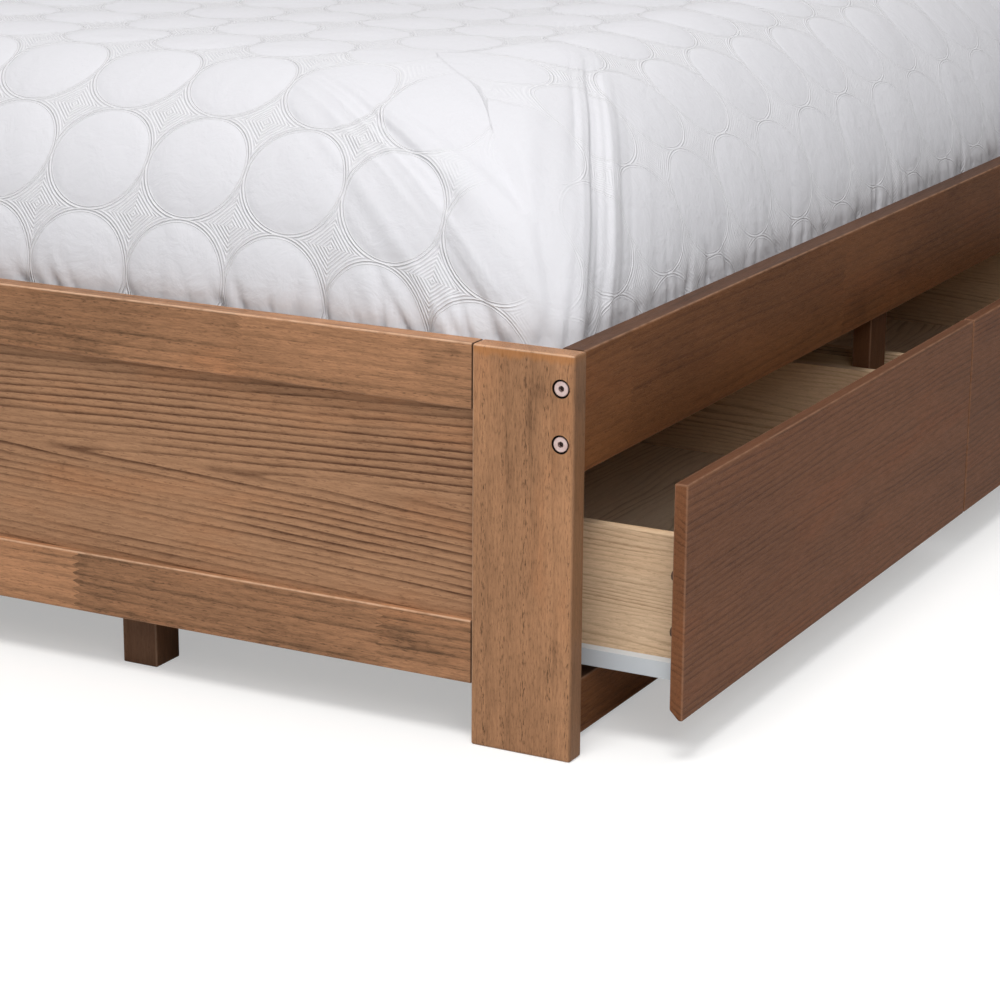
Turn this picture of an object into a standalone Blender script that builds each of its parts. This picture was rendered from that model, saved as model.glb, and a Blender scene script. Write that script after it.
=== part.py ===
"""Platform bed with three storage drawers along its right side.

Metres, +Z up.  -Y is the foot of the bed, +Y the head, +X the drawer side.  The origin is on
the floor at the middle of the frame, under the centre leg.  Inside this file most pieces are
placed in corner coordinates: x counts inwards (negative) from the outer face of the right
posts, y counts from the outer face of the footboard towards the head, and z from the floor.
"""
import math

import bmesh
import bpy
from mathutils import Matrix, Vector

# ---- driving dimensions ------------------------------------------------------------------
FRAME_WIDTH = 1.580
POST_WIDTH = 0.089
BOARD = 0.020             # thickness of posts, rails and side rails
FOOT_HEIGHT = 0.330
HEAD_HEIGHT = 0.980
GAP = 0.0003              # clearance between touching pieces

FOOT_TOP_RAIL_Z = (0.277, 0.330)
BOTTOM_RAIL_Z = (0.051, 0.104)
HEAD_TOP_RAIL_Z = (0.891, 0.980)
PANEL_Y = (0.007, 0.013)  # a thin panel held in grooves, set back from both faces
GROOVE_DEPTH = 0.0085
RAIL_INSET = 0.0008       # rails stand this far inside both faces of their posts

SIDE_RAIL_Z = (0.233, 0.330)
SIDE_RAIL_SETBACK = 0.002
LEDGE_WIDTH = 0.025       # strip glued inside each side rail, which the slats lie on
LEDGE_TOP = 0.2457

DRAWERS = 3
DRAWER_WIDTH = 0.606      # across the outer faces of a drawer's sides
FIRST_DRAWER_Y = 0.064    # outer face of the first drawer's side nearest the foot
DIVIDER_HALF_GAP = 0.034  # from a drawer's side to the middle of the divider beside it
DRAWER_PITCH = DRAWER_WIDTH + 2 * DIVIDER_HALF_GAP
FRAME_LENGTH = 2 * FIRST_DRAWER_Y + DRAWERS * DRAWER_PITCH - 2 * DIVIDER_HALF_GAP
FRONT_END_MARGIN = 0.036  # from the outer face of foot- or headboard to the nearest drawer front
FRONT_REVEAL = 0.003      # between two drawer fronts
FRONT_Z = (0.0375, 0.2305)
FRONT_THICKNESS = 0.0115
FINGER_CHAMFER = 0.008    # sloping cut along the bottom of a front's back face
BOX_DEPTH = 0.450
BOX_Z = (0.063, 0.179)
BOX_PANEL = 0.012
BOTTOM_Z = (0.0693, 0.0753)
BOTTOM_GROOVE = 0.005
REST_OPENING = (0.082, 0.082, 0.0)

FACE_SETBACK = 0.0165     # dividers, stiles and lower rail behind the posts' outer faces
DIVIDER_WIDTH = 0.0425
DIVIDER_DEPTH = 0.019
STILE_END_Y = 0.0436
LOWER_RAIL_Z = (0.005, 0.052)

SLIDE_ROOM = 0.0127       # between a drawer's side and the board that carries its slide
SLIDE_METAL = 0.0012
SLIDE_LENGTH = 0.448
BEAM_TOP = LEDGE_TOP
BEAM_CROSSING_Z = 0.1753
CROSS_BOARD_Z = (0.0540, 0.175)
INNER_BEAM_X = (-0.492, -0.470)
CENTRE_BEAM_HALF = 0.020

LEG_SIDE = 0.035
FOOT_LEG_X = 0.3594
FOOT_LEG_Y = (0.030, 0.065)
CROSS_LEG_TOP = 0.0537
CROSS_BOARD_CLEARANCE = 0.0095   # behind the foot- and headboard

SLATS = 13
SLAT_SIZE = (1.532, 0.070, 0.016)
TAPE_SIZE = (0.025, 0.004)
TAPE_X = 0.42
END_SLAT_CLEARANCE = 0.012
MATTRESS_SIZE = (1.524, 2.032, 0.250)
MATTRESS_Z = 0.2625
MATTRESS_CORNER = 0.055
MATTRESS_RIM = 0.030

BOLT_X = -0.012
BOLT_Z = {"upper": 0.303, "lower": 0.259}
BOLT_HEAD_RADIUS = 0.0060
BOLT_HEAD_HEIGHT = 0.0030
BOLT_SHANK_RADIUS = 0.0030
BOLT_LENGTH = 0.070
BOLT_SINK = 0.0008
COUNTERBORE_RADIUS = 0.0076
BOLT_HOLE_RADIUS = 0.0034
HOLE_CLEARANCE = 0.002    # past the end of a bolt
SHANK_OVERLAP = 0.001     # of a bolt's shank into its head
HEX_SOCKET_RADIUS = 0.0026
HEX_SOCKET_DEPTH = 0.0022

HALF_WIDTH = FRAME_WIDTH / 2
HALF_LENGTH = FRAME_LENGTH / 2

COLOURS = {
    "walnut": ((0.150, 0.072, 0.038), 0.42, 0.0),
    "dark_walnut": ((0.085, 0.040, 0.022), 0.48, 0.0),
    "ash_panel": ((0.175, 0.090, 0.050), 0.42, 0.0),
    "drawer_front": ((0.130, 0.058, 0.034), 0.38, 0.0),
    "light_oak": ((0.560, 0.400, 0.260), 0.55, 0.0),
    "white_enamel": ((0.780, 0.800, 0.830), 0.35, 0.0),
    "pine": ((0.620, 0.460, 0.290), 0.60, 0.0),
    "copper_zinc": ((0.660, 0.420, 0.310), 0.30, 1.0),
    "quilt": ((0.820, 0.815, 0.845), 0.85, 0.0),
}


# ---- helpers -----------------------------------------------------------------------------
def clear_scene():
    for scene_object in list(bpy.data.objects):
        bpy.data.objects.remove(scene_object, do_unlink=True)


def material(name):
    """Principled material from the colour table, made once."""
    found = bpy.data.materials.get(name)
    if found:
        return found
    made = bpy.data.materials.new(name)
    made.use_nodes = True
    colour, roughness, metallic = COLOURS[name]
    shader = made.node_tree.nodes["Principled BSDF"]
    shader.inputs["Base Color"].default_value = (*colour, 1.0)
    shader.inputs["Roughness"].default_value = roughness
    shader.inputs["Metallic"].default_value = metallic
    return made


def from_corner(x, y, z):
    """Corner coordinates to world coordinates."""
    return Vector((HALF_WIDTH + x, y - HALF_LENGTH, z))


def new_object(name, bm, finish, location=(0.0, 0.0, 0.0), parent=None):
    bmesh.ops.recalc_face_normals(bm, faces=bm.faces)
    mesh = bpy.data.meshes.new(name)
    bm.to_mesh(mesh)
    bm.free()
    made = bpy.data.objects.new(name, mesh)
    made.location = location
    if finish:
        mesh.materials.append(material(finish))
    bpy.context.collection.objects.link(made)
    if parent:
        made.parent = parent
        made.matrix_parent_inverse = Matrix.Translation(parent.location).inverted()
    return made


def add_bevel(target, width, segments=2):
    bevel = target.modifiers.new("rounded_edges", "BEVEL")
    bevel.width = width
    bevel.segments = segments
    bevel.limit_method = "ANGLE"
    bevel.angle_limit = 0.5
    return bevel


def world_box(name, low, high, finish, bevel=0.0, segments=2, parent=None):
    """Board between two world corners, with rounded edges where bevel isn't zero."""
    low, high = Vector(low), Vector(high)
    bm = bmesh.new()
    bmesh.ops.create_cube(bm, size=1.0)
    bmesh.ops.scale(bm, vec=high - low, verts=bm.verts)
    made = new_object(name, bm, finish, (low + high) / 2, parent)
    if bevel:
        add_bevel(made, bevel, segments)
    return made


def board(name, low, high, finish, bevel=0.0015, segments=2, parent=None):
    """Board between two corners given in corner coordinates."""
    return world_box(name, from_corner(*low), from_corner(*high), finish, bevel, segments, parent)


def extrusion(name, outline, axis, start, end, finish, parent=None):
    """Closed outline of world coordinates, extruded along a world axis from start to end.

    The outline's two numbers are Y, Z for axis X; X, Z for axis Y; and X, Y for axis Z.
    """
    others = [index for index in range(3) if index != axis]
    middle = (start + end) / 2
    bm = bmesh.new()
    corners = []
    for first, second in outline:
        point = [0.0, 0.0, 0.0]
        point[axis] = start - middle
        point[others[0]], point[others[1]] = first, second
        corners.append(bm.verts.new(point))
    face = bm.faces.new(corners)
    grown = bmesh.ops.extrude_face_region(bm, geom=[face])
    shift = Vector((0.0, 0.0, 0.0))
    shift[axis] = end - start
    bmesh.ops.translate(bm, vec=shift, verts=[v for v in grown["geom"]
                                              if isinstance(v, bmesh.types.BMVert)])
    location = [0.0, 0.0, 0.0]
    location[axis] = middle
    return new_object(name, bm, finish, location, parent)


def thicken(path, thickness):
    """Closed outline of a bent metal strip, from the middle line of its square bends."""
    points = [Vector(point) for point in path]
    left, right = [], []
    for index, point in enumerate(points):
        before = (point - points[index - 1]).normalized() if index else None
        after = (points[index + 1] - point).normalized() if index < len(points) - 1 else None
        normals = [Vector((-d.y, d.x)) for d in (before, after) if d is not None]
        offset = sum(normals, Vector((0.0, 0.0))) * thickness / 2
        left.append(point + offset)
        right.append(point - offset)
    return [tuple(point) for point in left + right[::-1]]


def cut(target, cutter):
    """Subtract a cutter, which stays as a hidden guide."""
    cutter.hide_render = True
    cutter.display_type = "WIRE"
    boolean = target.modifiers.new("cut_" + cutter.name, "BOOLEAN")
    boolean.operation = "DIFFERENCE"
    boolean.object = cutter


def join_to(target, piece):
    """Unite a piece with the target; the piece's own object stays as a hidden guide."""
    piece.hide_render = True
    piece.display_type = "WIRE"
    boolean = target.modifiers.new("join_" + piece.name, "BOOLEAN")
    boolean.operation = "UNION"
    boolean.object = piece


def rod(name, centre, radius, length, sides=20):
    """Cylinder along Y about centre."""
    bm = bmesh.new()
    bmesh.ops.create_cone(bm, cap_ends=True, segments=sides, radius1=radius, radius2=radius,
                          depth=length)
    bmesh.ops.rotate(bm, matrix=Matrix.Rotation(math.pi / 2, 3, "X"), verts=bm.verts)
    return new_object(name, bm, None, centre)


# ---- foot- and headboard -----------------------------------------------------------------
def end_board(prefix, height, top_rail_z, at_head):
    """Two posts, two rails and a thin panel in grooves; the headboard is the footboard's
    mirror image in Y, only taller."""
    def y_pair(low, high):
        return (FRAME_LENGTH - high, FRAME_LENGTH - low) if at_head else (low, high)

    y_low, y_high = y_pair(0.0, BOARD)
    panel_low, panel_high = y_pair(*PANEL_Y)
    posts = {}
    for side, x_low in (("right", -POST_WIDTH), ("left", -FRAME_WIDTH)):
        posts[side] = board(f"{prefix}_post_{side}", (x_low, y_low, 0.0),
                            (x_low + POST_WIDTH, y_high, height), "walnut", 0.002, 3)
        groove_x = x_low if side == "right" else x_low + POST_WIDTH
        groove = board(f"cutter_{prefix}_post_{side}_groove",
                       (groove_x - GROOVE_DEPTH, panel_low - GAP,
                        BOTTOM_RAIL_Z[1] - GROOVE_DEPTH),
                       (groove_x + GROOVE_DEPTH, panel_high + GAP,
                        top_rail_z[0] + GROOVE_DEPTH), None, 0.0)
        cut(posts[side], groove)

    rail_left, rail_right = -FRAME_WIDTH + POST_WIDTH + GAP, -POST_WIDTH - GAP
    rail_low, rail_high = y_pair(RAIL_INSET, BOARD - RAIL_INSET)
    for rail, (low, high), groove_at in (("top", top_rail_z, top_rail_z[0]),
                                         ("bottom", BOTTOM_RAIL_Z, BOTTOM_RAIL_Z[1])):
        made = board(f"{prefix}_{rail}_rail", (rail_left, rail_low, low),
                     (rail_right, rail_high, high), "walnut", 0.0012)
        groove = board(f"cutter_{prefix}_{rail}_rail_groove",
                       (rail_left - BOARD, panel_low - GAP, groove_at - GROOVE_DEPTH),
                       (rail_right + BOARD, panel_high + GAP, groove_at + GROOVE_DEPTH),
                       None, 0.0)
        cut(made, groove)

    hidden = GROOVE_DEPTH - 2 * GAP
    board(f"{prefix}_panel", (rail_left - hidden, panel_low, BOTTOM_RAIL_Z[1] - hidden),
          (rail_right + hidden, panel_high, top_rail_z[0] + hidden), "ash_panel", 0.0)
    return posts


# ---- long sides --------------------------------------------------------------------------
def side_rail(side):
    """Rail with the slat ledge glued along its bottom inner edge, as one piece."""
    mirror = 1 if side == "right" else -1
    outer = HALF_WIDTH - SIDE_RAIL_SETBACK
    inner = outer - BOARD
    z_low, z_high = SIDE_RAIL_Z
    outline = [(outer, z_low), (outer, z_high), (inner, z_high), (inner, LEDGE_TOP),
               (inner - LEDGE_WIDTH, LEDGE_TOP), (inner - LEDGE_WIDTH, z_low)]
    made = extrusion(f"side_rail_{side}", [(mirror * x, z) for x, z in outline], 1,
                     -HALF_LENGTH + BOARD + GAP, HALF_LENGTH - BOARD - GAP, "dark_walnut")
    add_bevel(made, 0.0015)
    return made


def drawer_side_frame():
    """Lower rail, stiles and dividers that frame the three drawer openings."""
    x_high = -FACE_SETBACK
    x_low = x_high - DIVIDER_DEPTH
    board("lower_rail", (x_low, BOARD + GAP, LOWER_RAIL_Z[0]),
          (x_high, FRAME_LENGTH - BOARD - GAP, LOWER_RAIL_Z[1]), "dark_walnut")
    z_low, z_high = LOWER_RAIL_Z[1] + GAP, SIDE_RAIL_Z[0] - GAP
    board("stile_foot", (x_low, BOARD + GAP, z_low), (x_high, STILE_END_Y, z_high), "walnut")
    board("stile_head", (x_low, FRAME_LENGTH - STILE_END_Y, z_low),
          (x_high, FRAME_LENGTH - BOARD - GAP, z_high), "walnut")
    for number, middle in enumerate(divider_positions(), 1):
        board(f"divider_{number}", (x_low, middle - DIVIDER_WIDTH / 2, z_low),
              (x_high, middle + DIVIDER_WIDTH / 2, z_high), "walnut")


def divider_positions():
    first = FIRST_DRAWER_Y + DRAWER_WIDTH + DIVIDER_HALF_GAP
    return [first + index * DRAWER_PITCH for index in range(DRAWERS - 1)]


# ---- inner structure ---------------------------------------------------------------------
def inner_structure():
    """Boards that carry the drawer slides, beams that carry the slats, and the legs."""
    board_x = (INNER_BEAM_X[1] + GAP, -FACE_SETBACK - DIVIDER_DEPTH - GAP)
    cross_low_x = -FRAME_WIDTH + SIDE_RAIL_SETBACK + BOARD + LEDGE_WIDTH
    inner_face = FIRST_DRAWER_Y - SLIDE_ROOM
    cross_y = (BOARD + CROSS_BOARD_CLEARANCE, inner_face)
    board("foot_cross_board", (cross_low_x, cross_y[0], CROSS_BOARD_Z[0]),
          (board_x[1], cross_y[1], CROSS_BOARD_Z[1]), "pine", 0.0012, 1)
    board("head_cross_board", (cross_low_x, FRAME_LENGTH - cross_y[1], CROSS_BOARD_Z[0]),
          (board_x[1], FRAME_LENGTH - cross_y[0], CROSS_BOARD_Z[1]), "pine", 0.0012, 1)
    half = DIVIDER_HALF_GAP - SLIDE_ROOM
    for number, middle in enumerate(divider_positions(), 1):
        board(f"runner_board_{number}", (board_x[0], middle - half, CROSS_BOARD_Z[0]),
              (board_x[1], middle + half, CROSS_BOARD_Z[1]), "pine", 0.0012, 1)
    board("inner_beam", (INNER_BEAM_X[0], cross_y[1] + GAP, CROSS_BOARD_Z[0]),
          (INNER_BEAM_X[1], FRAME_LENGTH - cross_y[1] - GAP, BEAM_TOP), "pine", 0.0012, 1)
    beam_end = HALF_LENGTH - cross_y[0]
    world_box("centre_beam", (-CENTRE_BEAM_HALF, -beam_end, BEAM_CROSSING_Z),
              (CENTRE_BEAM_HALF, beam_end, BEAM_TOP), "pine", 0.0012, 1)

    half_leg = LEG_SIDE / 2
    leg_y = FOOT_LEG_Y[0] - HALF_LENGTH, FOOT_LEG_Y[1] - HALF_LENGTH
    for end, (y_low, y_high) in (("foot", leg_y), ("head", (-leg_y[1], -leg_y[0]))):
        for side, x in (("right", FOOT_LEG_X), ("left", -FOOT_LEG_X)):
            world_box(f"{end}_leg_{side}", (x - half_leg, y_low, 0.0),
                      (x + half_leg, y_high, CROSS_LEG_TOP), "walnut", 0.0015)
    world_box("centre_leg", (-half_leg, -half_leg, 0.0),
              (half_leg, half_leg, BEAM_CROSSING_Z - GAP), "pine", 0.0015)


def slat_deck():
    """Slats across the bed, joined by two woven tapes that run through them."""
    length, width, thickness = SLAT_SIZE
    z_low = LEDGE_TOP + GAP
    end = HALF_LENGTH - BOARD - END_SLAT_CLEARANCE - width / 2
    middles = [end * (2 * index / (SLATS - 1) - 1) for index in range(SLATS)]
    deck = None
    for index, middle in enumerate(middles):
        slat = world_box("slat_deck" if deck is None else f"cutter_slat_{index}",
                         (-length / 2, middle - width / 2, z_low),
                         (length / 2, middle + width / 2, z_low + thickness), "pine")
        if deck is None:
            deck = slat
        else:
            slat.hide_render = True
            slat.display_type = "WIRE"
    tape_z = z_low + (thickness - TAPE_SIZE[1]) / 2
    slats = [bpy.data.objects[f"cutter_slat_{index}"] for index in range(1, SLATS)]
    tapes = [world_box(f"cutter_tape_{side}", (x - TAPE_SIZE[0] / 2, middles[0], tape_z),
                       (x + TAPE_SIZE[0] / 2, middles[-1], tape_z + TAPE_SIZE[1]), "quilt")
             for side, x in (("right", TAPE_X), ("left", -TAPE_X))]
    for piece in tapes + slats:
        join_to(deck, piece)


# ---- drawers -----------------------------------------------------------------------------
def strip_run(side_y, toward, points):
    """World Y, Z points of a strip beside a drawer's side; toward is +1 on the foot side."""
    return [(side_y - HALF_LENGTH + toward * y, z) for y, z in points]


def moving_slide(name, side_y, toward, x_pair, parent):
    """Flange under the side, web beside it, ledge outwards and lip down over the roller."""
    path = [(0.012, 0.0621), (-0.0009, 0.0621), (-0.0009, 0.0774), (-0.0102, 0.0774),
            (-0.0102, 0.0640)]
    extrusion(name, thicken(strip_run(side_y, toward, path), SLIDE_METAL), 0, *x_pair,
              "white_enamel", parent)


def fixed_slide(name, side_y, toward, x_pair):
    """Web screwed to the board, flange that the roller runs on, and a small upturned lip."""
    path = [(-0.0118, 0.0830), (-0.0118, 0.0551), (-0.0040, 0.0551), (-0.0040, 0.0590)]
    extrusion(name, thicken(strip_run(side_y, toward, path), SLIDE_METAL), 0, *x_pair,
              "white_enamel")


def drawer_side(name, side_y, toward, x_pair, parent):
    """Side panel with a groove for the drawer bottom."""
    inner, groove = BOX_PANEL, BOX_PANEL - BOTTOM_GROOVE
    outline = [(0.0, BOX_Z[0]), (inner, BOX_Z[0]), (inner, BOTTOM_Z[0] - GAP),
               (groove, BOTTOM_Z[0] - GAP), (groove, BOTTOM_Z[1] + GAP),
               (inner, BOTTOM_Z[1] + GAP), (inner, BOX_Z[1]), (0.0, BOX_Z[1])]
    extrusion(name, strip_run(side_y, toward, outline), 0, *x_pair, "light_oak", parent)


def drawer(number, opening):
    """One drawer, with its fixed slides; opening is how far it stands out at rest."""
    name = f"drawer_{number}"
    near = FIRST_DRAWER_Y + (number - 1) * DRAWER_PITCH
    far = near + DRAWER_WIDTH
    dividers = divider_positions()
    front_near = dividers[number - 2] + FRONT_REVEAL / 2 if number > 1 else FRONT_END_MARGIN
    front_far = (dividers[number - 1] - FRONT_REVEAL / 2 if number < DRAWERS
                 else FRAME_LENGTH - FRONT_END_MARGIN)
    outer = HALF_WIDTH - SIDE_RAIL_SETBACK + opening
    back_face = outer - FRONT_THICKNESS
    box_x = (back_face - GAP - BOX_DEPTH, back_face - GAP)

    slider = bpy.data.objects.new(f"{name}_slider", None)
    slider.location = (outer, (front_near + front_far) / 2 - HALF_LENGTH, sum(FRONT_Z) / 2)
    bpy.context.collection.objects.link(slider)

    outline = [(outer, FRONT_Z[0]), (outer, FRONT_Z[1]), (back_face, FRONT_Z[1]),
               (back_face, FRONT_Z[0] + FINGER_CHAMFER),
               (back_face + FINGER_CHAMFER, FRONT_Z[0])]
    front = extrusion(f"{name}_front", outline, 1, front_near - HALF_LENGTH,
                      front_far - HALF_LENGTH, "drawer_front", slider)
    add_bevel(front, 0.0013)

    for end, side_y, toward in (("foot", near, 1), ("head", far, -1)):
        drawer_side(f"{name}_side_{end}", side_y, toward, box_x, slider)
        moving_slide(f"{name}_slide_{end}", side_y, toward,
                     (box_x[1] - SLIDE_LENGTH, box_x[1]), slider)
        fixed_x = (HALF_WIDTH + INNER_BEAM_X[1] + GAP,
                   HALF_WIDTH - FACE_SETBACK - DIVIDER_DEPTH - GAP)
        fixed_slide(f"fixed_slide_{number}_{end}", side_y, toward, fixed_x)

    inside = BOX_PANEL + GAP
    low_y, high_y = near + inside - HALF_LENGTH, far - inside - HALF_LENGTH
    world_box(f"{name}_back", (box_x[0], low_y, BOTTOM_Z[1] + GAP),
              (box_x[0] + BOX_PANEL, high_y, BOX_Z[1]), "light_oak", parent=slider)
    in_groove = BOTTOM_GROOVE - 2 * GAP
    world_box(f"{name}_bottom", (box_x[0], low_y - in_groove, BOTTOM_Z[0]),
              (box_x[1], high_y + in_groove, BOTTOM_Z[1]), "light_oak", parent=slider)


# ---- bolts and mattress ------------------------------------------------------------------
def rail_bolts(post, rail):
    """Two socket-head bolts through the right foot post into the end of its side rail."""
    for place, z in BOLT_Z.items():
        at = from_corner(BOLT_X, 0.0, z)
        head_end = BOLT_SINK + BOLT_HEAD_HEIGHT
        middle = (head_end + BOLT_LENGTH) / 2
        bolt = rod(f"rail_bolt_{place}", at + Vector((0, BOLT_SINK + BOLT_HEAD_HEIGHT / 2, 0)),
                   BOLT_HEAD_RADIUS, BOLT_HEAD_HEIGHT, 28)
        bolt.data.materials.append(material("copper_zinc"))
        shank = rod(f"cutter_bolt_shank_{place}", at + Vector((0, middle - SHANK_OVERLAP / 2, 0)),
                    BOLT_SHANK_RADIUS, BOLT_LENGTH - head_end + SHANK_OVERLAP, 16)
        join_to(bolt, shank)
        socket = rod(f"cutter_bolt_socket_{place}", at + Vector((0, BOLT_SINK, 0)),
                     HEX_SOCKET_RADIUS, 2 * HEX_SOCKET_DEPTH, 6)
        cut(bolt, socket)

        counterbore_depth = head_end + GAP
        counterbore = rod(f"cutter_counterbore_{place}", at,
                          COUNTERBORE_RADIUS, 2 * counterbore_depth, 32)
        cut(post, counterbore)
        hole = rod(f"cutter_bolt_hole_{place}", at, BOLT_HOLE_RADIUS,
                   2 * (BOLT_LENGTH + HOLE_CLEARANCE), 16)
        cut(post, hole)
        cut(rail, hole)


def mattress():
    """Mattress with rounded corners, as one plain block."""
    length_x, length_y, height = MATTRESS_SIZE
    bm = bmesh.new()
    bmesh.ops.create_cube(bm, size=1.0)
    bmesh.ops.scale(bm, vec=MATTRESS_SIZE, verts=bm.verts)
    upright = [edge for edge in bm.edges
               if abs(edge.verts[0].co.z - edge.verts[1].co.z) > height / 2]
    bmesh.ops.bevel(bm, geom=upright, offset=MATTRESS_CORNER, segments=5, affect="EDGES", profile=0.5)
    rims = [edge for edge in bm.edges
            if abs(edge.verts[0].co.z - edge.verts[1].co.z) < 1e-6
            and len(edge.link_faces) == 2 and abs(edge.calc_face_angle()) > 1.0]
    bmesh.ops.bevel(bm, geom=rims, offset=MATTRESS_RIM, segments=3, affect="EDGES", profile=0.5)
    new_object("mattress", bm, "quilt", (0.0, 0.0, MATTRESS_Z + height / 2))


def main():
    clear_scene()
    foot_posts = end_board("foot", FOOT_HEIGHT, FOOT_TOP_RAIL_Z, at_head=False)
    end_board("head", HEAD_HEIGHT, HEAD_TOP_RAIL_Z, at_head=True)
    right_rail = side_rail("right")
    side_rail("left")
    drawer_side_frame()
    inner_structure()
    slat_deck()
    for number, opening in enumerate(REST_OPENING, 1):
        drawer(number, opening)
    rail_bolts(foot_posts["right"], right_rail)
    mattress()


main()
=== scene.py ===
"""Looks for the platform bed with storage drawers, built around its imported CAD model.

Metres, +Z up.  -Y is the foot, +Y the head, +X the drawer side, and the origin is on the floor
at the middle of the frame.
"""
import math

import bmesh
import bpy
import numpy as np
from mathutils import Euler, Matrix, Vector


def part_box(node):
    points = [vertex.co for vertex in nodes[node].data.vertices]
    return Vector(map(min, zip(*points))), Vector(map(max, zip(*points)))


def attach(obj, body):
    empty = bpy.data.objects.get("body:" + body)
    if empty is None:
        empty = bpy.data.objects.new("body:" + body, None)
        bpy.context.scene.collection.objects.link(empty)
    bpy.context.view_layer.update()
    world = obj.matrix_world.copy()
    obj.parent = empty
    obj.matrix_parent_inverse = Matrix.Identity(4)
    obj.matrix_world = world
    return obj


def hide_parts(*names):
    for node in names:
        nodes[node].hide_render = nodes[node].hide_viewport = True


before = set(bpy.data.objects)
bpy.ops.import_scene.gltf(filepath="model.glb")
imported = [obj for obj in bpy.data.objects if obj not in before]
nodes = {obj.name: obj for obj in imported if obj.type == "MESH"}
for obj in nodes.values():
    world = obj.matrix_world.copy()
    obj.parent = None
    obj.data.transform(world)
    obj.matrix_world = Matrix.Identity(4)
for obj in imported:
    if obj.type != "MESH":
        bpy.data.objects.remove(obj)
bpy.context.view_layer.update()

POST_LOW, POST_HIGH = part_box("foot_post_right")


def add_object(name, data):
    """New object in the scene, made from a mesh, a light or a camera."""
    made = bpy.data.objects.new(name, data)
    bpy.context.scene.collection.objects.link(made)
    return made


def set_material(target, material):
    target.data.materials.clear()
    target.data.materials.append(material)


# ---- camera, floor and light -------------------------------------------------------------
LENS_MM, SENSOR_MM = 103.4, 36.0
CORNER = Vector((POST_HIGH.x, POST_LOW.y, POST_LOW.z))   # outer foot corner at the floor
CAMERA_FROM_CORNER = Vector((0.940, -1.903, 0.830))
CAMERA_DOWN, CAMERA_TURN, CAMERA_ROLL = 16.13, 27.81, 0.40   # degrees

AMBIENT = 0.25
BACKDROP_GLOW, FLOOR_GLOW = 0.31, 0.40   # added for the camera alone, so that both read as pale
FLOOR_HALF_SIZE = 20.0
FLOOR_GREY = 0.64


def make_camera():
    """Long lens near the foot corner on the drawer side, looking slightly down."""
    data = bpy.data.cameras.new("camera")
    data.lens = LENS_MM
    data.sensor_width = SENSOR_MM
    data.clip_end = 100.0
    camera = add_object("camera", data)
    camera.location = CORNER + CAMERA_FROM_CORNER
    look = Euler((math.radians(90.0 - CAMERA_DOWN), 0.0, math.radians(CAMERA_TURN)), "XYZ")
    roll = Matrix.Rotation(math.radians(CAMERA_ROLL), 3, "Z")
    camera.rotation_euler = (look.to_matrix() @ roll).to_euler("XYZ")
    bpy.context.scene.camera = camera


def area_light(name, location, target, size, power, colour=(1.0, 1.0, 1.0)):
    """Softbox that faces target."""
    data = bpy.data.lights.new(name, "AREA")
    data.shape = "RECTANGLE"
    data.size, data.size_y = size
    data.energy = power
    data.color = colour
    light = add_object(name, data)
    light.location = location
    light.rotation_euler = (Vector(target) - Vector(location)).to_track_quat("-Z", "Y").to_euler()


def glow_for_camera(tree, socket, strength, extra):
    """Extra brightness that the picture sees and the object isn't lit by."""
    rays = tree.nodes.new("ShaderNodeLightPath")
    glow = tree.nodes.new("ShaderNodeMath")
    glow.operation = "MULTIPLY_ADD"
    glow.inputs[1].default_value = extra
    glow.inputs[2].default_value = strength
    tree.links.new(rays.outputs["Is Camera Ray"], glow.inputs[0])
    tree.links.new(glow.outputs[0], socket)


def make_studio():
    """Pale floor and white room, softboxes above and to the right, weak fills at both ends."""
    world = bpy.data.worlds.new("studio")
    world.use_nodes = True
    background = world.node_tree.nodes["Background"]
    background.inputs["Color"].default_value = (1.0, 1.0, 1.0, 1.0)
    glow_for_camera(world.node_tree, background.inputs["Strength"], AMBIENT, BACKDROP_GLOW)
    bpy.context.scene.world = world
    bpy.context.scene.view_settings.view_transform = "Standard"

    bm = bmesh.new()
    bmesh.ops.create_grid(bm, x_segments=1, y_segments=1, size=FLOOR_HALF_SIZE)
    mesh = bpy.data.meshes.new("floor")
    bm.to_mesh(mesh)
    bm.free()
    floor = add_object("floor", mesh)
    paint = bpy.data.materials.new("studio_floor")
    paint.use_nodes = True
    shader = paint.node_tree.nodes["Principled BSDF"]
    shader.inputs["Base Color"].default_value = (FLOOR_GREY, FLOOR_GREY, FLOOR_GREY, 1.0)
    shader.inputs["Roughness"].default_value = 0.9
    shader.inputs["Specular IOR Level"].default_value = 0.0
    shader.inputs["Emission Color"].default_value = (1.0, 1.0, 1.0, 1.0)
    glow_for_camera(paint.node_tree, shader.inputs["Emission Strength"], 0.0, FLOOR_GLOW)
    mesh.materials.append(paint)

    foot_end = (0.4, -0.9, 0.2)
    area_light("key_softbox", (1.0, -2.55, 3.9), foot_end, (1.7, 1.3), 110.0, (1.0, 0.985, 0.965))
    area_light("side_softbox", (1.9, -2.3, 1.4), (0.86, -1.0, 0.2), (0.9, 0.8), 11.0)
    area_light("top_softbox", (0.9, -0.1, 3.4), (0.5, 0.0, 0.2), (2.4, 2.4), 28.0)
    area_light("front_fill", (0.2, -4.5, 1.0), foot_end, (2.4, 1.2), 4.0)
    area_light("back_fill", (-1.6, 4.0, 2.4), (-0.2, 1.0, 0.4), (2.6, 1.6), 42.0)


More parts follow.
